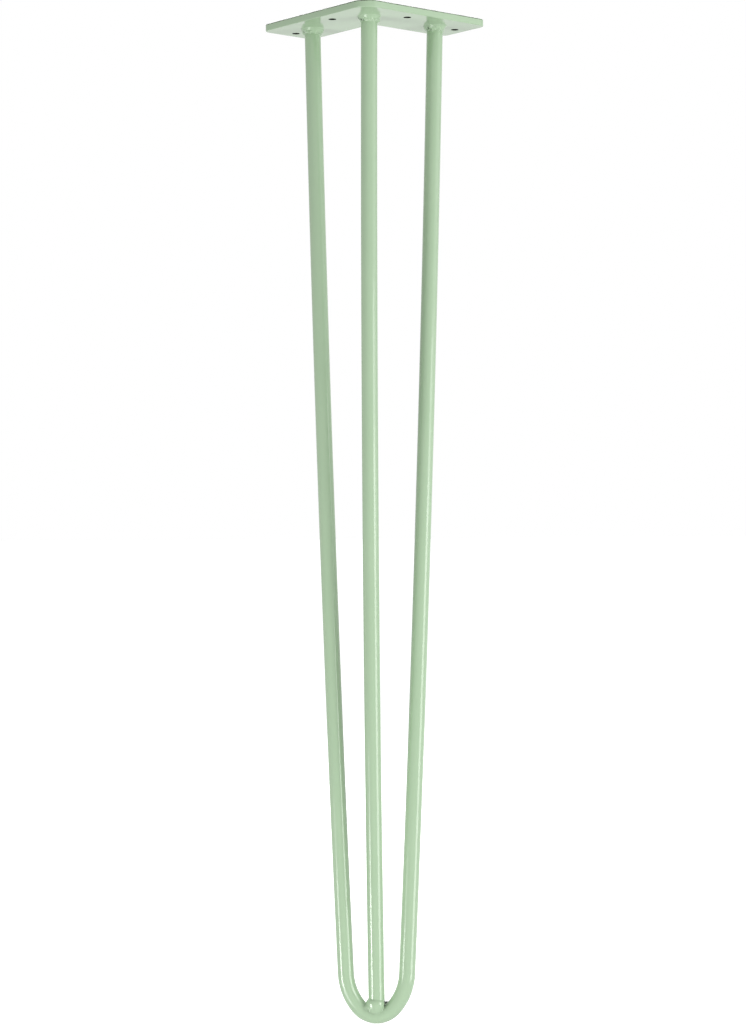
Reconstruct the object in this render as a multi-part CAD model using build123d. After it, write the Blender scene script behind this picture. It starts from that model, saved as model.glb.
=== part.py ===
"""Hairpin table leg: an L-shaped mounting plate, a bent hairpin rod and a third rod, welded together.

Millimetres. X runs across the leg, Y from the plate's corner to the open side of its L, Z up. The origin
lies on the mounting face, where the middle lines of the plate's two arms cross.
"""

import math
import os

from build123d import *

# Overall height, from the floor to the mounting face
leg_height = 711.0

# Round bar of both rods, coat included, and the straight length at the ends of their bows
rod_diameter = 11.5
straight_end = 15.0

# Mounting plate: two equal arms at right angles
plate_thickness = 5.0
arm_length = 114.5
arm_width = 46.0
outer_corner_radius = 12.5
end_corner_radius = 6.0
notch_radius = 3.0
edge_bevel = 0.5

# Rods on the plate: the hairpin's ends, from an arm's end and across from its outer edge, and the
# centre rod, from both outer edges
hairpin_from_end = 29.6
hairpin_across = arm_width / 2
centre_rod_inset = 26.5

# Screw holes: distance from the arm's end or along it from the corner, and across from the outer edge
hole_diameter = 5.5
outer_hole_from_end = 10.0
outer_hole_across = arm_width / 2
inner_hole_along = 49.5
inner_hole_across = 12.0

# Bend at the floor: its distance from the plate's corner, its tight nose and its wider flanks
foot_reach = 37.0
nose_radius = 16.3
nose_half_angle = 50.0
flank_radius = 39.0
arm_angle_at_foot = 2.6

# Centre rod: sideways bow at mid height, and height of its cut end over the middle of the bend
centre_rod_bow = 1.6
centre_rod_end_rise = 4.0

# Weld beads: legs and root of the beads under the plate, and the ball of weld at the foot
weld_leg_on_plate = 3.1
weld_leg_on_rod = 4.3
weld_root = 1.0
foot_weld_radius = 7.1
foot_weld_rise = 7.2

# Values that follow from the ones above
rod_radius = rod_diameter / 2
underside = -plate_thickness
corner_y = -arm_width / math.sqrt(2)


def on_arm(along, across, side):
    """Point of the mounting face on the right arm (side 1) or the left arm (side -1)."""
    x = side * (along - across) / math.sqrt(2)
    y = corner_y + (along + across) / math.sqrt(2)
    return Vector(x, y, 0)


# Mounting plate: an arm and its mirror image, with round corners, bevelled edges and screw holes
arm_middle = on_arm(arm_length / 2, arm_width / 2, 1)
arm = Pos(arm_middle.X, arm_middle.Y, 0) * Rot(0, 0, 45) * Rectangle(arm_length, arm_width)
plate = extrude(arm + mirror(arm, about=Plane.YZ), amount=plate_thickness, dir=(0, 0, -1))

outer_corner = plate.edges().filter_by(Axis.Z).sort_by(Axis.Y)[0]
plate = fillet(outer_corner, outer_corner_radius)
notch = plate.edges().filter_by(Axis.Z).filter_by(lambda edge: abs(edge.center().X) < 0.01)
plate = fillet(notch, notch_radius)
end_reach = 0.4 * arm_length
end_corners = plate.edges().filter_by(Axis.Z).filter_by(lambda edge: abs(edge.center().X) > end_reach)
plate = fillet(end_corners, end_corner_radius)
rims = plate.faces().sort_by(Axis.Z)[0].edges() + plate.faces().sort_by(Axis.Z)[-1].edges()
plate = chamfer(rims, edge_bevel)

hole_places = [
    (arm_length - outer_hole_from_end, outer_hole_across),
    (inner_hole_along, inner_hole_across),
]
for along, across in hole_places:
    for side in (-1, 1):
        centre = on_arm(along, across, side)
        plate -= Pos(centre.X, centre.Y, 0) * Cylinder(hole_diameter / 2, 3 * plate_thickness)
plate.label = "mounting_plate"

# Space above the underside of the plate, where no rod or weld may reach
above = Pos(0, 0, underside) * Box(
    4 * arm_length, 4 * arm_length, leg_height, align=(Align.CENTER, Align.CENTER, Align.MIN)
)


def run_on(piece, end):
    """Straight length that carries a bowed piece on at its start (end 0) or its finish (end 1)."""
    heading = (piece % end) * (2 * end - 1)
    return Line(piece @ end, piece @ end + heading * straight_end)


# Hairpin rod: one bar, from the nose of the bend through its flanks into two slightly bowed arms
arm_top = on_arm(arm_length - hairpin_from_end, hairpin_across, 1)
bend_middle = Vector(0, corner_y + foot_reach, rod_radius - leg_height)
lean = Vector(0, arm_top.Y, 0) - bend_middle
bend_plane = Plane(origin=bend_middle, x_dir=(1, 0, 0), z_dir=Vector(1, 0, 0).cross(lean))

nose = CenterArc((0, nose_radius), nose_radius, 270 - nose_half_angle, 2 * nose_half_angle)
flank_turn = 90 - arm_angle_at_foot - nose_half_angle
flank = JernArc(start=nose @ 1, tangent=nose % 1, radius=flank_radius, arc_size=flank_turn)
bowed_arm = TangentArc(flank @ 1, (arm_top.X, lean.length - straight_end), tangent=flank % 1)
right_side = Curve() + [flank, bowed_arm, run_on(bowed_arm, 1)]
hairpin_path = (bend_plane * (right_side + nose + mirror(right_side, about=Plane.YZ))).wire()
outwards = Vector((hairpin_path @ 0).X, 0, 0)
section = Plane(origin=hairpin_path @ 0, x_dir=outwards, z_dir=hairpin_path % 0) * Circle(rod_radius)
hairpin = sweep(section, path=hairpin_path) - above
hairpin.label = "hairpin_rod"

# Centre rod: from the corner of the plate to the inside of the bend, bowed a little to one side
centre_top = on_arm(centre_rod_inset, centre_rod_inset, 1)
centre_end = bend_middle + Vector(0, 0, centre_rod_end_rise)
upwards = (centre_top - centre_end).normalized()
bow_start = centre_end + upwards * straight_end
bow_finish = centre_top - upwards * straight_end
bow_middle = (bow_start + bow_finish) * 0.5 - Vector(centre_rod_bow, 0, 0)
bow = ThreePointArc(bow_start, bow_middle, bow_finish)
centre_path = (Curve() + [run_on(bow, 0), bow, run_on(bow, 1)]).wire()
section = Plane(origin=centre_path @ 0, x_dir=(1, 1, 0), z_dir=centre_path % 0) * Circle(rod_radius)
centre_rod = sweep(section, path=centre_path) - above - hairpin
centre_rod.label = "centre_rod"


def plate_weld(rod_end, heading, label):
    """Fillet bead between the underside of the plate and the straight end of a rod."""
    top = rod_end + heading * ((underside - rod_end.Z) / heading.Z)
    steepness = weld_leg_on_rod / weld_leg_on_plate
    toe = (rod_radius + weld_leg_on_plate, underside)
    root = (rod_radius - weld_root, underside - weld_leg_on_rod - steepness * weld_root)
    profile = Polyline(toe, root, (0, root[1]), (0, underside), close=True)
    bead = revolve(make_face(Plane.XZ * profile), axis=Axis.Z)
    bar = Plane(origin=rod_end, z_dir=heading) * Cylinder(rod_radius, 2 * straight_end)
    bead = Pos(top.X, top.Y, 0) * bead - bar
    bead.label = label
    return bead


centre_weld = plate_weld(run_on(bow, 1) @ 1, bow % 1, "centre_rod_weld")
arm_end = bend_plane * run_on(bowed_arm, 1)
right_weld = plate_weld(arm_end @ 1, arm_end % 1, "right_rod_weld")
left_weld = mirror(right_weld, about=Plane.YZ)
left_weld.label = "left_rod_weld"

# Foot weld: a ball of metal round the end of the centre rod, cut by both rods
weld_middle = bend_middle + upwards * foot_weld_rise
foot_weld = Pos(weld_middle.X, weld_middle.Y, weld_middle.Z) * Sphere(foot_weld_radius)
foot_weld = foot_weld - hairpin - centre_rod
foot_weld.label = "foot_weld"

os.makedirs("parts", exist_ok=True)
for piece in (plate, hairpin, centre_rod, left_weld, right_weld, centre_weld, foot_weld):
    export_step(piece, f"parts/{piece.label}.step")
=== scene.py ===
"""Hairpin table leg in gloss powder coat: two round bars welded under an L-shaped screw plate.

Metres, +Z up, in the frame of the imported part: the origin lies on the mounting face, X runs across the
leg and Y from the plate's corner to the open side of its L.
"""
import math

import bmesh
import bpy
from mathutils import Matrix, Vector
from mathutils.kdtree import KDTree


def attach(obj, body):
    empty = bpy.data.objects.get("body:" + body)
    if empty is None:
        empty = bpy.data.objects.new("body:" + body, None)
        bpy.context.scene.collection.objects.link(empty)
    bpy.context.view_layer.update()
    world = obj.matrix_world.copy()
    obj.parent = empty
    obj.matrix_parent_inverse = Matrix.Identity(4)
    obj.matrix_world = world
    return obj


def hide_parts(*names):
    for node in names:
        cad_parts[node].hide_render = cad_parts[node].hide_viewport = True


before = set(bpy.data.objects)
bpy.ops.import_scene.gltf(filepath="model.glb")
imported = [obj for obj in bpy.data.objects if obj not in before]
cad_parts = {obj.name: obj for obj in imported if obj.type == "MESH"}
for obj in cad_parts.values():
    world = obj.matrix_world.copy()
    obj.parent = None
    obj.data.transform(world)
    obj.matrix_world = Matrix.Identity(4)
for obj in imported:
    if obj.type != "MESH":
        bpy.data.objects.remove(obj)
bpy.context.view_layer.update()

mm = 0.001

# Sizes of the part
leg_height = 711 * mm
rod_radius = 5.75 * mm
straight_end = 15 * mm
plate_thickness = 5 * mm
arm_length = 114.5 * mm
arm_width = 46 * mm
outer_corner_radius = 12.5 * mm
end_corner_radius = 6 * mm
notch_radius = 3 * mm
edge_round = 0.5 * mm
hairpin_from_end = 29.6 * mm
hairpin_across = arm_width / 2
centre_rod_inset = 26.5 * mm
hole_radius = 2.75 * mm
outer_hole_from_end = 10 * mm
outer_hole_across = arm_width / 2
inner_hole_along = 49.5 * mm
inner_hole_across = 12 * mm
foot_reach = 37 * mm
nose_radius = 16.3 * mm
nose_half_angle = math.radians(50)
flank_radius = 39 * mm
arm_angle_at_foot = math.radians(2.6)
centre_rod_bow = 1.6 * mm
centre_rod_end_rise = 4 * mm
weld_leg_on_plate = 3.1 * mm
weld_leg_on_rod = 4.3 * mm

# Strip under the plate's upper arris painted dark as the dark reflection there, where the coat is also
# thinly laid, and the width over which it fades
dark_arris_strip = 0.75 * mm
dark_arris_fade = 0.08 * mm

# How far a bar runs on into the plate, and how far a weld's hidden root lies under the surfaces it joins
bar_overlap = 2 * mm
root_depth = 0.08 * mm

# Fineness of the meshes, and the distances within which points count as one or as level
bar_sides = 64
stub_sides = 48
hole_sides = 48
weld_voxel = 0.28 * mm
same_point = 0.001 * mm
same_level = 0.01 * mm

# Values that follow from the ones above
underside = -plate_thickness
corner_y = -arm_width / math.sqrt(2)


def on_arm(along, across, side):
    """Point of the mounting face on the right arm (side 1) or the left arm (side -1)."""
    x = side * (along - across) / math.sqrt(2)
    y = corner_y + (along + across) / math.sqrt(2)
    return Vector((x, y, 0))


def level_way(angle):
    """Level direction at an angle from the X axis."""
    return Vector((math.cos(angle), math.sin(angle), 0))


def linear(hex_colour):
    """sRGB hex to the linear RGBA that a shader socket takes."""
    parts = [int(hex_colour[i:i + 2], 16) / 255 for i in (1, 3, 5)]
    return [c / 12.92 if c <= 0.04045 else ((c + 0.055) / 1.055) ** 2.4 for c in parts] + [1.0]


def add(tree, kind, inputs=None, **settings):
    """Adds a node with its settings. An input is a value, or the output that feeds it."""
    made = tree.nodes.new(kind)
    for name, value in settings.items():
        setattr(made, name, value)
    for socket, value in (inputs or {}).items():
        if isinstance(value, bpy.types.NodeSocket):
            tree.links.new(value, made.inputs[socket])
        else:
            made.inputs[socket].default_value = value
    return made


def new_material(name):
    """Material with an empty node tree."""
    material = bpy.data.materials.new(name)
    material.use_nodes = True
    material.node_tree.nodes.clear()
    return material, material.node_tree


# Materials


def gloss_powder_coat():
    """Polyester powder, sprayed and stoved on steel: one even pastel green, glossy, with orange peel."""
    material, tree = new_material("gloss_powder_coat_sage")
    place = add(tree, "ShaderNodeTexCoord").outputs["Object"]
    # Film thickness drifts over a few centimetres, which shifts the green and the gloss by a hair
    drift = add(tree, "ShaderNodeTexNoise", {"Vector": place, "Scale": 1 / (45 * mm), "Detail": 2.0})
    thicker = add(
        tree, "ShaderNodeMapRange", {"Value": drift.outputs["Fac"], "From Min": 0.3, "From Max": 0.7}
    )
    tint = add(
        tree, "ShaderNodeMix",
        {"Factor": thicker.outputs["Result"], "A": linear("#A6C19F"), "B": linear("#A9C3A2")},
        data_type="RGBA",
    )
    gloss = add(
        tree, "ShaderNodeMapRange", {"Value": drift.outputs["Fac"], "To Min": 0.08, "To Max": 0.12}
    )
    # Painted shade and a painted dark reflection, in patches, where the coat is also thinly laid: on the
    # plate's upper arris, in blow-holes, round the foot weld
    thin_and_shaded = add(tree, "ShaderNodeAttribute", attribute_name="thin_film").outputs["Fac"]
    patch = add(tree, "ShaderNodeTexNoise", {"Vector": place, "Scale": 1 / (4 * mm), "Detail": 3.0})
    spread = add(
        tree, "ShaderNodeMapRange",
        {"Value": patch.outputs["Fac"], "From Min": 0.3, "From Max": 0.65,
         "To Min": 0.45, "To Max": 1.0},
    )
    bare_and_shaded = add(tree, "ShaderNodeMath", {0: thin_and_shaded, 1: spread.outputs["Result"]}, operation="MULTIPLY")
    colour = add(
        tree, "ShaderNodeMix",
        {"Factor": bare_and_shaded.outputs["Value"], "A": tint.outputs["Result"], "B": linear("#30442C")},
        data_type="RGBA",
    )
    # Orange peel: waves 2.5 and 0.8 mm apart, under a micrometre high, so that streaks stay straight
    peel = add(tree, "ShaderNodeTexNoise", {"Vector": place, "Scale": 1 / (2.5 * mm), "Detail": 0.0})
    fine = add(tree, "ShaderNodeTexNoise", {"Vector": place, "Scale": 1 / (0.8 * mm), "Detail": 0.0})
    wave = add(tree, "ShaderNodeBump", {"Height": peel.outputs["Fac"], "Distance": 0.0005 * mm})
    ripple = add(
        tree, "ShaderNodeBump",
        {"Height": fine.outputs["Fac"], "Distance": 0.0002 * mm, "Normal": wave.outputs["Normal"]},
    )
    surface_layer = add(
        tree, "ShaderNodeBsdfPrincipled",
        {"Base Color": colour.outputs["Result"], "Roughness": gloss.outputs["Result"],
         "Normal": ripple.outputs["Normal"], "IOR": 1.58},
    )
    add(tree, "ShaderNodeOutputMaterial", {"Surface": surface_layer.outputs["BSDF"]})
    return material


def painted_shade_hole_wall():
    """Wall of a punched screw hole, painted near black as the shade inside it, on dull dark steel dusted
    with green.
    """
    material, tree = new_material("punched_steel_hole_wall")
    place = add(tree, "ShaderNodeTexCoord").outputs["Object"]
    dust = add(tree, "ShaderNodeTexNoise", {"Vector": place, "Scale": 1 / (1.2 * mm), "Detail": 3.0})
    dusted = add(
        tree, "ShaderNodeMapRange", {"Value": dust.outputs["Fac"], "From Min": 0.35, "From Max": 0.75}
    )
    tint = add(
        tree, "ShaderNodeMix",
        {"Factor": dusted.outputs["Result"], "A": linear("#0C0E0B"), "B": linear("#1E231C")},
        data_type="RGBA",
    )
    wall = add(
        tree, "ShaderNodeBsdfPrincipled",
        {"Base Color": tint.outputs["Result"], "Roughness": 0.8, "Specular IOR Level": 0.0},
    )
    add(tree, "ShaderNodeOutputMaterial", {"Surface": wall.outputs["BSDF"]})
    return material


coat = gloss_powder_coat()
hole_wall = painted_shade_hole_wall()


# Geometry trees


def new_tree(name, sockets):
    """Geometry tree with a geometry input and output, and named inputs for its sizes."""
    tree = bpy.data.node_groups.new(name, "GeometryNodeTree")
    tree.interface.new_socket("Geometry", in_out="OUTPUT", socket_type="NodeSocketGeometry")
    tree.interface.new_socket("Geometry", in_out="INPUT", socket_type="NodeSocketGeometry")
    for socket, kind in sockets.items():
        tree.interface.new_socket(socket, in_out="INPUT", socket_type=kind)
    return tree, add(tree, "NodeGroupInput").outputs


def finish_tree(tree, geometry):
    """Ends a geometry tree with real, coated geometry."""
    real = add(tree, "GeometryNodeRealizeInstances", {"Geometry": geometry}).outputs["Geometry"]
    coated = add(tree, "GeometryNodeSetMaterial", {"Geometry": real, "Material": coat})
    add(tree, "NodeGroupOutput", {"Geometry": coated.outputs["Geometry"]})


def round_bar_tree():
    """A round bar along a curve."""
    tree, given = new_tree("round_bar", {"Radius": "NodeSocketFloat", "Sides": "NodeSocketInt"})
    ring = add(
        tree, "GeometryNodeCurvePrimitiveCircle",
        {"Resolution": given["Sides"], "Radius": given["Radius"]},
    )
    swept = add(
        tree, "GeometryNodeCurveToMesh",
        {"Curve": given["Geometry"], "Profile Curve": ring.outputs["Curve"], "Fill Caps": True},
    )
    smooth = add(tree, "GeometryNodeSetShadeSmooth", {"Geometry": swept.outputs["Mesh"]})
    finish_tree(tree, smooth.outputs["Geometry"])
    return tree


def weld_bead_tree():
    """Drops of weld laid one over the other along a curve, on the two pieces that they join."""
    tree, given = new_tree("weld_bead", {
        "First Piece": "NodeSocketObject", "Second Piece": "NodeSocketObject",
        "Drop Pitch": "NodeSocketFloat", "Drop Radius": "NodeSocketFloat",
        "Smallest": "NodeSocketFloat", "Largest": "NodeSocketFloat",
        "Stray": "NodeSocketFloat", "Seed": "NodeSocketInt",
    })
    steps = add(
        tree, "GeometryNodeResampleCurve",
        {"Curve": given["Geometry"], "Length": given["Drop Pitch"]}, mode="LENGTH",
    )
    apart = add(
        tree, "ShaderNodeVectorMath", {0: (1, 1, 1), "Scale": given["Stray"]}, operation="SCALE"
    )
    back = add(
        tree, "ShaderNodeVectorMath", {0: (-1, -1, -1), "Scale": given["Stray"]}, operation="SCALE"
    )
    stray = add(
        tree, "FunctionNodeRandomValue",
        {"Min": back.outputs["Vector"], "Max": apart.outputs["Vector"], "Seed": given["Seed"]},
        data_type="FLOAT_VECTOR",
    )
    placed = add(
        tree, "GeometryNodeSetPosition",
        {"Geometry": steps.outputs["Curve"], "Offset": stray.outputs["Value"]},
    )
    drop = add(tree, "GeometryNodeMeshIcoSphere", {"Radius": given["Drop Radius"], "Subdivisions": 3})
    size = add(
        tree, "FunctionNodeRandomValue",
        {"Min": given["Smallest"], "Max": given["Largest"], "Seed": given["Seed"]},
        data_type="FLOAT",
    )
    drops = add(
        tree, "GeometryNodeInstanceOnPoints",
        {"Points": placed.outputs["Geometry"], "Instance": drop.outputs["Mesh"],
         "Scale": size.outputs["Value"]},
    )
    first = add(tree, "GeometryNodeObjectInfo", {"Object": given["First Piece"]})
    second = add(tree, "GeometryNodeObjectInfo", {"Object": given["Second Piece"]})
    joined = add(tree, "GeometryNodeJoinGeometry")
    for source in (drops.outputs["Instances"], first.outputs["Geometry"], second.outputs["Geometry"]):
        tree.links.new(source, joined.inputs["Geometry"])
    finish_tree(tree, joined.outputs["Geometry"])
    return tree


round_bar = round_bar_tree()
weld_bead = weld_bead_tree()


def new_object(name, data):
    """Object of this data in the scene."""
    made = bpy.data.objects.new(name, data)
    bpy.context.scene.collection.objects.link(made)
    return made


def add_line(data, points, closed):
    """Adds one spline of straight runs through the points to a curve."""
    spline = data.splines.new("POLY")
    spline.points.add(len(points) - 1)
    for point, place in zip(spline.points, points):
        point.co = (*place, 1.0)
    spline.use_cyclic_u = closed


def curve_through(name, points, closed=False):
    """Curve object through the points."""
    data = bpy.data.curves.new(name, "CURVE")
    data.dimensions = "3D"
    add_line(data, points, closed)
    return new_object(name, data)


def use_tree(owner, tree, values):
    """Gives an object a geometry tree with these inputs."""
    modifier = owner.modifiers.new(tree.name, "NODES")
    modifier.node_group = tree
    for item in tree.interface.items_tree:
        if item.in_out == "INPUT" and item.name in values:
            modifier[item.identifier] = values[item.name]


def settle(owner):
    """Turns an object and its modifiers into a plain mesh of the same name."""
    name = owner.name
    owner.name = name + "_source"
    graph = bpy.context.evaluated_depsgraph_get()
    mesh = bpy.data.meshes.new_from_object(owner.evaluated_get(graph), depsgraph=graph)
    bpy.data.objects.remove(owner)
    mesh.name = name
    return new_object(name, mesh)


def bar(name, points, radius, sides):
    """Round bar through the points, with cut ends."""
    owner = curve_through(name, points)
    use_tree(owner, round_bar, {"Radius": radius, "Sides": sides})
    piece = settle(owner)
    # The cut ends keep their own normals, or they would bend the shading of the last straight run
    for face in piece.data.polygons:
        face.use_smooth = len(face.vertices) < 5
    return piece


def finished(piece, *nodes):
    """A finished piece stands for its CAD nodes and rides with the leg."""
    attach(piece, "root")
    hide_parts(*nodes)


# Lines of the two bars


class Pen:
    """Draws a line of straight runs and arcs in a plane."""

    def __init__(self, x, y, heading):
        self.x, self.y, self.heading = x, y, heading
        self.points = [(x, y)]

    def run(self, length, turn=0.0, steps=1):
        """A run of that length which turns steadily, or not at all."""
        bend = turn / steps
        chord = length / steps
        if bend:
            chord *= math.sin(bend / 2) / (bend / 2)
        for _ in range(steps):
            self.x += chord * math.cos(self.heading + bend / 2)
            self.y += chord * math.sin(self.heading + bend / 2)
            self.heading += bend
            self.points.append((self.x, self.y))

    def reach(self, x, y, steps):
        """One arc on from the present heading to a point."""
        span = math.hypot(x - self.x, y - self.y)
        half = math.atan2(y - self.y, x - self.x) - self.heading
        self.run(span * half / math.sin(half), 2 * half, steps)


# Hairpin, in the plane of its bend: x across the leg, y up along its lean
arm_top = on_arm(arm_length - hairpin_from_end, hairpin_across, 1)
bend_middle = Vector((0, corner_y + foot_reach, rod_radius - leg_height))
lean = Vector((0, arm_top.y, 0)) - bend_middle
lean_length = lean.length
lean.normalize()
right_half = Pen(0, 0, 0)
right_half.run(nose_radius * nose_half_angle, nose_half_angle, steps=24)
flank_turn = math.radians(90) - arm_angle_at_foot - nose_half_angle
right_half.run(flank_radius * flank_turn, flank_turn, steps=20)
right_half.reach(arm_top.x, lean_length - straight_end, steps=40)
right_half.run(straight_end - bar_overlap)


def on_bend(x, y):
    """Point of the hairpin's plane in space."""
    return bend_middle + Vector((x, 0, 0)) + lean * y


right_line = [on_bend(x, y) for x, y in right_half.points]
left_line = [on_bend(-x, y) for x, y in right_half.points]
hairpin_line = left_line[:0:-1] + right_line

# Centre rod, in the plane of its bow: x up along the rod, y to its left
centre_top = on_arm(centre_rod_inset, centre_rod_inset, 1)
centre_end = bend_middle + Vector((0, 0, centre_rod_end_rise))
upwards = centre_top - centre_end
bow_chord = upwards.length - 2 * straight_end
upwards.normalize()
bow_radius = (bow_chord ** 2 / 4 + centre_rod_bow ** 2) / (2 * centre_rod_bow)
bow_half_turn = math.asin(bow_chord / 2 / bow_radius)
pen_start = straight_end - straight_end * math.cos(bow_half_turn)
centre_pen = Pen(pen_start, -straight_end * math.sin(bow_half_turn), bow_half_turn)
centre_pen.run(straight_end)
centre_pen.run(2 * bow_half_turn * bow_radius, -2 * bow_half_turn, steps=60)
centre_pen.run(straight_end - bar_overlap)
centre_line = [centre_end + upwards * x - Vector((y, 0, 0)) for x, y in centre_pen.points]

hairpin_bar = bar("hairpin_bar", hairpin_line, rod_radius, bar_sides)
finished(hairpin_bar, "hairpin_rod")
centre_bar = bar("centre_bar", centre_line, rod_radius, bar_sides)
finished(centre_bar, "centre_rod")


# Screw plate


def round_corner(before, corner, after, radius, steps=12):
    """Points of the arc that rounds a corner."""
    towards = (before - corner).normalized()
    away = (after - corner).normalized()
    half = towards.angle(away) / 2
    middle = corner + (towards + away).normalized() * (radius / math.sin(half))
    start = corner + towards * (radius / math.tan(half)) - middle
    finish = corner + away * (radius / math.tan(half)) - middle
    sweep = start.angle(finish)
    points = []
    for i in range(steps + 1):
        spoke = start * math.sin(sweep * (1 - i / steps)) + finish * math.sin(sweep * i / steps)
        points.append(middle + spoke / math.sin(sweep))
    return points


plate_corners = [
    (on_arm(0, 0, 1), outer_corner_radius),
    (on_arm(arm_length, 0, 1), end_corner_radius),
    (on_arm(arm_length, arm_width, 1), end_corner_radius),
    (on_arm(arm_width, arm_width, 1), notch_radius),
    (on_arm(arm_length, arm_width, -1), end_corner_radius),
    (on_arm(arm_length, 0, -1), end_corner_radius),
]
outline = []
for i, (corner, radius) in enumerate(plate_corners):
    before = plate_corners[i - 1][0]
    after = plate_corners[(i + 1) % len(plate_corners)][0]
    outline += round_corner(before, corner, after, radius)

hole_places = [
    (arm_length - outer_hole_from_end, outer_hole_across),
    (inner_hole_along, inner_hole_across),
]
hole_middles = [on_arm(along, across, side) for along, across in hole_places for side in (-1, 1)]


def from_hole(point):
    """Level way to a point from the middle of the nearest screw hole."""
    ways = [Vector((point.x - hole.x, point.y - hole.y, 0)) for hole in hole_middles]
    return min(ways, key=lambda way: way.length)


def screw_plate():
    """Flat bar cut to an L, its edges rounded by the coat, with four punched holes."""
    data = bpy.data.curves.new("screw_plate", "CURVE")
    data.dimensions = "2D"
    data.fill_mode = "BOTH"
    data.extrude = plate_thickness / 2 - edge_round
    data.bevel_depth = edge_round
    data.bevel_resolution = 3
    # The rounding swells the outline, so it is drawn in by a little more than the rounding's radius
    draw_in = 1.04 * edge_round
    data.offset = -draw_in
    add_line(data, outline, closed=True)
    turns = [math.tau * i / hole_sides for i in range(hole_sides)]
    for hole in hole_middles:
        add_line(data, [hole + hole_radius * level_way(turn) for turn in turns], closed=True)
    plate = settle(new_object("screw_plate", data))
    mesh = plate.data
    mesh.transform(Matrix.Translation((0, 0, -plate_thickness / 2)))
    whole = bmesh.new()
    whole.from_mesh(mesh)
    bmesh.ops.remove_doubles(whole, verts=whole.verts, dist=same_point)
    bmesh.ops.recalc_face_normals(whole, faces=whole.faces)
    # Two cuts round the edge bound the strip under the upper arris that is painted dark as a reflection,
    # and its fade
    for depth in (dark_arris_strip, dark_arris_strip + dark_arris_fade):
        every = whole.verts[:] + whole.edges[:] + whole.faces[:]
        bmesh.ops.bisect_plane(whole, geom=every, plane_co=(0, 0, -depth), plane_no=(0, 0, 1))
    # A punch leaves sharp holes, so their rims lose the rounding of the outer edge
    rim_reach = hole_radius + 1.2 * edge_round
    # Layer of painted shade, where the coat is also thinly laid
    thin_film = whole.verts.layers.float.new("thin_film")
    for vert in whole.verts:
        out = from_hole(vert.co)
        if out.length < rim_reach:
            vert.co += out * (hole_radius / out.length) - out
        # The strip under the upper arris gets the painted dark reflection
        elif -dark_arris_strip - same_level < vert.co.z < -same_level:
            vert[thin_film] = 1.0
    whole.normal_update()
    for face in whole.faces:
        in_hole = from_hole(face.calc_center_median()).length < 1.01 * hole_radius
        upright = abs(face.normal.z) < 0.5
        face.material_index = int(in_hole and upright)
    mesh.materials.clear()
    mesh.materials.append(coat)
    mesh.materials.append(hole_wall)
    whole.to_mesh(mesh)
    whole.free()
    sharpest_smooth = math.radians(35)
    mesh.set_sharp_from_angle(angle=sharpest_smooth)
    # The two flat faces keep their own normals, or the rounding would shade them as if they were bent
    flat = 0.999
    for face in mesh.polygons:
        face.use_smooth = abs(face.normal.z) < flat
    return plate


finished(screw_plate(), "mounting_plate")


# Weld beads


def bead(name, line, first, second, node, levelling, drops):
    """Bead of weld along a closed line, grown together with the pieces under it."""
    owner = curve_through(name, line, closed=True)
    use_tree(owner, weld_bead, {"First Piece": first, "Second Piece": second, **drops})
    grown = owner.modifiers.new("grown_together", "REMESH")
    grown.mode = "VOXEL"
    grown.voxel_size = weld_voxel
    grown.use_smooth_shade = True
    levelled = owner.modifiers.new("levelled_by_the_coat", "SMOOTH")
    levelled.factor = 0.5
    levelled.iterations = levelling
    piece = settle(owner)
    for stub in (first, second):
        bpy.data.objects.remove(stub)
    finished(piece, node)
    return piece


def add_to(piece, shape, place, **sizes):
    """Adds a plain shape to a piece that the weld will grow together with."""
    whole = bmesh.new()
    whole.from_mesh(piece.data)
    shape(whole, matrix=place, **sizes)
    whole.to_mesh(piece.data)
    whole.free()


# Bead under the plate: the fillet under its drops, and the bits of bar and plate that it grows on
fillet_low_radius = rod_radius - 0.3 * mm
fillet_high_radius = rod_radius + weld_leg_on_plate - 0.1 * mm
plate_stub_length = 11 * mm
plate_stub_rise = 1 * mm
slab_radius = rod_radius + 6 * mm
slab_rise = 2 * mm

# Line of the drops: the torch weaves between the plate and the bar as it goes round
weaves = 9
weave_out = 0.1 * mm
weave_out_swing = 0.75 * mm
weave_down = 2.7 * mm
weave_down_swing = 1.3 * mm
weave_steps = 144

# Rounds of smoothing by the coat, and the drops themselves
plate_levelling = 4
plate_drops = {
    "Drop Pitch": 1.9 * mm, "Drop Radius": 1.2 * mm, "Smallest": 0.6, "Largest": 1.2,
    "Stray": 0.35 * mm,
}

# Blow-holes: how deep they are, how steep their walls, and how soon the painted shade in them is full
pit_depth = 0.5 * mm
pit_steepness = 2.0
pit_shade_rise = 1.8


def pit(piece, place, inwards, radius):
    """Blow-hole in a bead: little powder finds its way in, and painted shade darkens it."""
    surface_layer = piece.data.attributes["thin_film"]
    for vert, darkened in zip(piece.data.vertices, surface_layer.data):
        near = 1 - (vert.co - place).length / radius
        if near > 0:
            vert.co += inwards * pit_depth * min(1.0, pit_steepness * near)
            darkened.value = max(darkened.value, min(1.0, pit_shade_rise * near))


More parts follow.
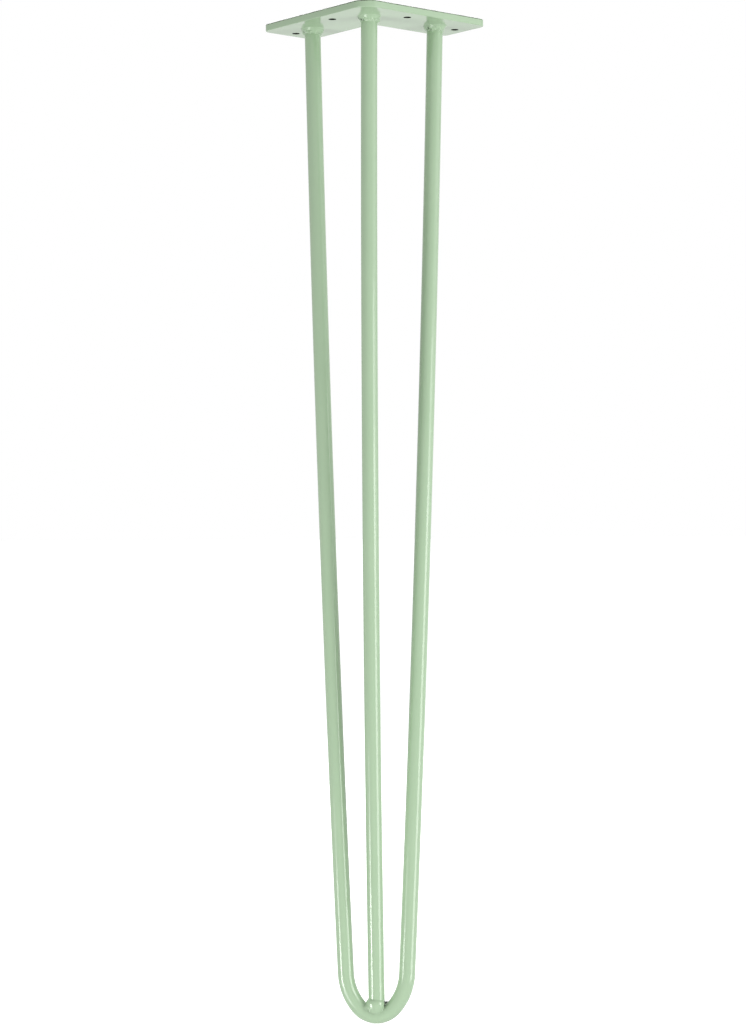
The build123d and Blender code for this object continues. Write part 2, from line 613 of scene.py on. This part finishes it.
def plate_bead(name, line, node, seed, pits):
    """Fillet bead round a bar, under the plate, with blow-holes at these angles, depths and radii."""
    end = line[-1]
    heading = (end - line[-2]).normalized()
    top = end + heading * ((underside - end.z) / heading.z)
    stub_ends = [top - heading * plate_stub_length, top + heading * plate_stub_rise]
    stub = bar(name + "_stub", stub_ends, rod_radius - root_depth, stub_sides)
    add_to(
        stub, bmesh.ops.create_cone, Matrix.Translation(top - Vector((0, 0, weld_leg_on_rod / 2))),
        cap_ends=True, segments=stub_sides, depth=weld_leg_on_rod,
        radius1=fillet_low_radius, radius2=fillet_high_radius,
    )
    slab_ends = [top + Vector((0, 0, root_depth)), top + Vector((0, 0, slab_rise))]
    slab = bar(name + "_slab", slab_ends, slab_radius, stub_sides)
    ring = []
    for i in range(weave_steps):
        angle = math.tau * i / weave_steps
        weave = math.sin(weaves * angle + seed)
        out = level_way(angle) * (rod_radius + weave_out + weave_out_swing * weave)
        ring.append(top + out - Vector((0, 0, weave_down - weave_down_swing * weave)))
    piece = bead(name, ring, stub, slab, node, plate_levelling, {**plate_drops, "Seed": seed})
    piece.data.attributes.new("thin_film", "FLOAT", "POINT")
    for degrees, down, radius in pits:
        out = level_way(math.radians(degrees))
        leg = weld_leg_on_plate * (1 - down * mm / weld_leg_on_rod)
        place = top + out * (rod_radius + leg) - Vector((0, 0, down * mm))
        pit(piece, place, -out, radius * mm)


# Blow-holes of each bead: degrees round the bar, then depth under the plate and radius in millimetres
left_pits = [(205, 2.6, 1.0), (235, 3.6, 0.8)]
right_pits = [(232, 2.4, 1.1), (250, 3.4, 0.9), (212, 3.2, 0.9)]
centre_pits = [(196, 1.6, 1.3), (216, 2.8, 1.2), (236, 3.6, 0.9)]

plate_bead("left_plate_bead", left_line, "left_rod_weld", 3, left_pits)
plate_bead("right_plate_bead", right_line, "right_rod_weld", 8, right_pits)
plate_bead("centre_plate_bead", centre_line, "centre_rod_weld", 5, centre_pits)

# Foot weld: its dome over the end of the rod, its ring of drops, and the bits of bar that it grows on
dome_rise = 8.8 * mm
dome_shift = Vector((-0.5, -0.5, 0)) * mm
dome_half_axes = (6.7 * mm, 7.2 * mm, 8.6 * mm)
dome_shoulder = 0.55
dome_fullness = 2.6
foot_ring_rise = 5.4 * mm
foot_ring_radius = rod_radius - 1.6 * mm
foot_ring_steps = 72
foot_stub_length = 17 * mm
foot_bend_height = 8 * mm

# Rounds of smoothing by the coat, and the drops themselves
foot_levelling = 11
foot_drops = {
    "Drop Pitch": 5.2 * mm, "Drop Radius": 1.7 * mm, "Smallest": 0.8, "Largest": 1.1,
    "Stray": 0.3 * mm, "Seed": 4,
}

# Lumps of the web at the foot, in millimetres from the bend's middle: across, back, up, and radius
web_lumps = [
    (-7.3, -0.4, 6.7, 2.6),
    (-6.4, -2.6, 5.4, 2.7),
    (-7.0, 3.0, 6.2, 2.6),
    (6.7, 4.6, 6.6, 2.6),
]

# Crevice on the right: its bounds from the bend's middle, how dark the painted shade in it is, and its
# fade
crevice_side = 5.0 * mm
crevice_front = -3.6 * mm
crevice_floor = 4.2 * mm
crevice_painted_shade = 2.2
crevice_fade = 0.5 * mm

# Toe of the dome on the bend: how dark the painted shade is there, and its fade up the dome and out
# along the bar
toe_painted_shade = 0.2
toe_fade = 1.6 * mm
toe_reach = 3.6 * mm

# Gap at which a point of the weld stands clear of the bend, and how high up the bar the toe can lie
clear_of_bend = 0.15 * mm
foot_height = 20 * mm


def bell(whole, matrix, shoulder, fullness):
    """Unit ball with a low shoulder on top and full flanks below, as weld that ran down and set."""
    # The lowest point has no width to grow
    lowest = -0.99
    ball = bmesh.ops.create_icosphere(whole, subdivisions=4, radius=1.0)["verts"]
    for vert in ball:
        if vert.co.z > 0:
            vert.co.z *= shoulder
        elif vert.co.z > lowest:
            wider = (1 - (-vert.co.z) ** fullness) ** (1 / fullness) / math.sqrt(1 - vert.co.z ** 2)
            vert.co.x *= wider
            vert.co.y *= wider
    bmesh.ops.transform(whole, matrix=matrix, verts=ball)


def foot_bead():
    """Ball of weld that closes the end of the centre rod on the inside of the bend."""
    stub_ends = [centre_end, centre_end + upwards * foot_stub_length]
    stub = bar("foot_stub", stub_ends, rod_radius - root_depth, stub_sides)
    bend_line = [point for point in hairpin_line if point.z < bend_middle.z + foot_bend_height]
    bend = bar("foot_bend", bend_line, rod_radius - root_depth, stub_sides)
    dome_middle = Matrix.Translation(bend_middle + upwards * dome_rise + dome_shift)
    dome = dome_middle @ Matrix.Diagonal((*dome_half_axes, 1))
    add_to(bend, bell, dome, shoulder=dome_shoulder, fullness=dome_fullness)
    # The weld was laid from the left: a web closes that crevice, and the right one stays open in front
    for x, y, rise, radius in web_lumps:
        place = Matrix.Translation(bend_middle + Vector((x, y, rise)) * mm)
        add_to(bend, bmesh.ops.create_icosphere, place, subdivisions=3, radius=radius * mm)
    ring = []
    across = Vector((1, 0, 0))
    through = upwards.cross(across).normalized()
    for i in range(foot_ring_steps):
        angle = math.tau * i / foot_ring_steps
        out = across * math.cos(angle) + through * math.sin(angle)
        ring.append(bend_middle + upwards * foot_ring_rise + out * foot_ring_radius)
    piece = bead("foot_bead", ring, stub, bend, "foot_weld", foot_levelling, foot_drops)
    # Painted shade in the open crevice, and a fainter painted shade round the toe of the dome, where
    # little powder finds its way too
    surface_layer = piece.data.attributes.new("thin_film", "FLOAT", "POINT")
    outside = KDTree(len(piece.data.vertices))
    for i, (vert, darkened) in enumerate(zip(piece.data.vertices, surface_layer.data)):
        x, y, rise = vert.co - bend_middle
        inside = min(x - crevice_side, y - crevice_front, rise - crevice_floor)
        above = min((vert.co - point).length for point in bend_line) - rod_radius
        in_crevice = min(crevice_painted_shade, inside / crevice_fade)
        at_toe = toe_painted_shade * (1 - max(0.0, above) / toe_fade)
        darkened.value = max(0.0, in_crevice, at_toe)
        if above > clear_of_bend:
            outside.insert(vert.co, i)
    outside.balance()
    # Painted shade on the bar round the toe of the dome
    bar_painted_shade = hairpin_bar.data.attributes.new("thin_film", "FLOAT", "POINT")
    for vert, darkened in zip(hairpin_bar.data.vertices, bar_painted_shade.data):
        if vert.co.z < bend_middle.z + foot_height:
            distance = outside.find(vert.co)[2]
            darkened.value = toe_painted_shade * max(0.0, 1 - distance / toe_reach)


foot_bead()


# Floor, light and camera


def white_floor():
    """White sheet under the leg. Only the camera sees it, so the lamps under it still reach the leg."""
    material, tree = new_material("matt_white_floor")
    sheet = add(tree, "ShaderNodeBsdfDiffuse", {"Color": linear("#F4F4F4")})
    glow = add(tree, "ShaderNodeEmission", {"Color": linear("#FFFFFF"), "Strength": 0.85})
    both = add(tree, "ShaderNodeAddShader", {0: sheet.outputs["BSDF"], 1: glow.outputs["Emission"]})
    add(tree, "ShaderNodeOutputMaterial", {"Surface": both.outputs["Shader"]})
    mesh = bpy.data.meshes.new("floor")
    reach = 30.0
    corners = [(x * reach, y * reach, -leg_height) for x, y in ((-1, -1), (1, -1), (1, 1), (-1, 1))]
    mesh.from_pydata(corners, [], [(0, 1, 2, 3)])
    mesh.materials.append(material)
    floor = new_object("floor", mesh)
    floor.visible_diffuse = False
    floor.visible_glossy = False
    floor.visible_transmission = False
    floor.visible_shadow = False


# Soft light on the leg by where it comes from: an axis, the side of it, and the strength there
room_light = [
    ("Y", -1, 0.73),
    ("Y", 1, 0.1),
    ("Z", -1, 0.42),
    ("Z", 1, 0.15),
    ("X", 1, 0.37),
]


def soft_world():
    """White all round for the eye and for reflections, and a soft light, mostly from the front."""
    world = bpy.data.worlds.new("white_studio")
    world.use_nodes = True
    tree = world.node_tree
    tree.nodes.clear()
    direction = add(tree, "ShaderNodeTexCoord").outputs["Generated"]
    towards = add(tree, "ShaderNodeSeparateXYZ", {"Vector": direction}).outputs
    level = 0.0
    for axis, side, strength in room_light:
        glow = add(
            tree, "ShaderNodeMapRange",
            {"Value": towards[axis], "From Min": 0.0, "From Max": side,
             "To Min": 0.0, "To Max": strength},
        )
        total = add(tree, "ShaderNodeMath", {0: level, 1: glow.outputs["Result"]}, operation="ADD")
        level = total.outputs["Value"]
    room = add(tree, "ShaderNodeBackground", {"Color": linear("#FFFFFF"), "Strength": level})
    white = add(tree, "ShaderNodeBackground", {"Color": linear("#FFFFFF"), "Strength": 1.0})
    rays = add(tree, "ShaderNodeLightPath")
    seen = add(
        tree, "ShaderNodeMath",
        {0: rays.outputs["Is Camera Ray"], 1: rays.outputs["Is Glossy Ray"]}, operation="MAXIMUM",
    )
    shown = add(
        tree, "ShaderNodeMath",
        {0: seen.outputs["Value"], 1: rays.outputs["Is Transmission Ray"]}, operation="MAXIMUM",
    )
    mixed = add(
        tree, "ShaderNodeMixShader",
        {"Fac": shown.outputs["Value"], 1: room.outputs["Background"], 2: white.outputs["Background"]},
    )
    add(tree, "ShaderNodeOutputWorld", {"Surface": mixed.outputs["Shader"]})
    bpy.context.scene.world = world


# The camera stands 5 degrees to the right of the leg's middle plane, level, at about half its height
camera_azimuth = math.radians(4.68)
camera_place = Vector((0.13575, -1.6461, -0.35296))
camera_tilt = math.radians(90.0165)
camera_roll = math.radians(0.437)
camera_swing = math.radians(0.0165)

# The lamps stand round this point of the mounting face
lamp_middle = Vector((0, 0.03, 0))


def panel_lamp(name, degrees, distance, middle, size, radiance, aim):
    """Flat soft lamp at an angle to the right of the camera, facing a height on the leg.

    Lengths are in metres, and the radiance is in watts per square metre and steradian.
    """
    angle = math.radians(degrees) + camera_azimuth
    place = lamp_middle + Vector((math.sin(angle) * distance, -math.cos(angle) * distance, middle))
    data = bpy.data.lights.new(name, "AREA")
    data.shape = "RECTANGLE"
    data.size, data.size_y = size
    data.energy = radiance * math.pi * size[0] * size[1]
    lamp = new_object(name, data)
    lamp.location = place
    facing = lamp_middle + Vector((0, 0, aim)) - place
    lamp.rotation_euler = facing.to_track_quat("-Z", "Y").to_euler()
    return lamp


def lamps():
    """Soft panels round the leg, most of them seen as streaks along the bars."""
    # Right: a tall strip with a dimmer top, and a wide soft box over it
    panel_lamp("right_strip", 60, 1.0, -0.61, (0.48, 0.68), 4.35, aim=-0.61)
    panel_lamp("right_strip_top", 60, 1.0, -0.185, (0.48, 0.17), 2.3, aim=-0.185)
    panel_lamp("right_soft_box", 75, 1.2, 0.1, (1.0, 1.0), 0.76, aim=0.0)
    # Left: a low panel that fades towards its top, and a strip lying in front of it that shines up
    panel_lamp("left_low_panel", -61, 1.0, -0.9, (0.3, 0.24), 12.3, aim=-0.9)
    panel_lamp("left_panel_middle", -61, 1.0, -0.74, (0.3, 0.08), 6.8, aim=-0.74)
    panel_lamp("left_panel_top", -61, 1.0, -0.66, (0.3, 0.08), 2.5, aim=-0.66)
    lying_angle = -55
    lying = panel_lamp("left_lying_strip", lying_angle, 0.65, -0.9, (0.3, 0.5), 4.2, aim=-0.9)
    lying.rotation_euler = (math.pi, 0, math.radians(lying_angle) + camera_azimuth)
    # Behind and above, out of sight of the front: it keeps the back and the mounting face readable
    panel_lamp("back_soft_box", 180, 1.5, 0.9, (1.2, 1.2), 6.0, aim=-0.2)


def camera():
    """Long lens from in front of the plate's corner."""
    data = bpy.data.cameras.new("camera")
    data.sensor_width = 36.0
    data.lens = 83.05
    data.clip_start = 0.05
    data.clip_end = 100.0
    made = new_object("camera", data)
    made.location = camera_place
    made.rotation_euler = (camera_tilt, camera_roll, camera_azimuth + camera_swing)
    bpy.context.scene.camera = made


white_floor()
soft_world()
lamps()
camera()
bpy.context.scene.view_settings.view_transform = "Standard"
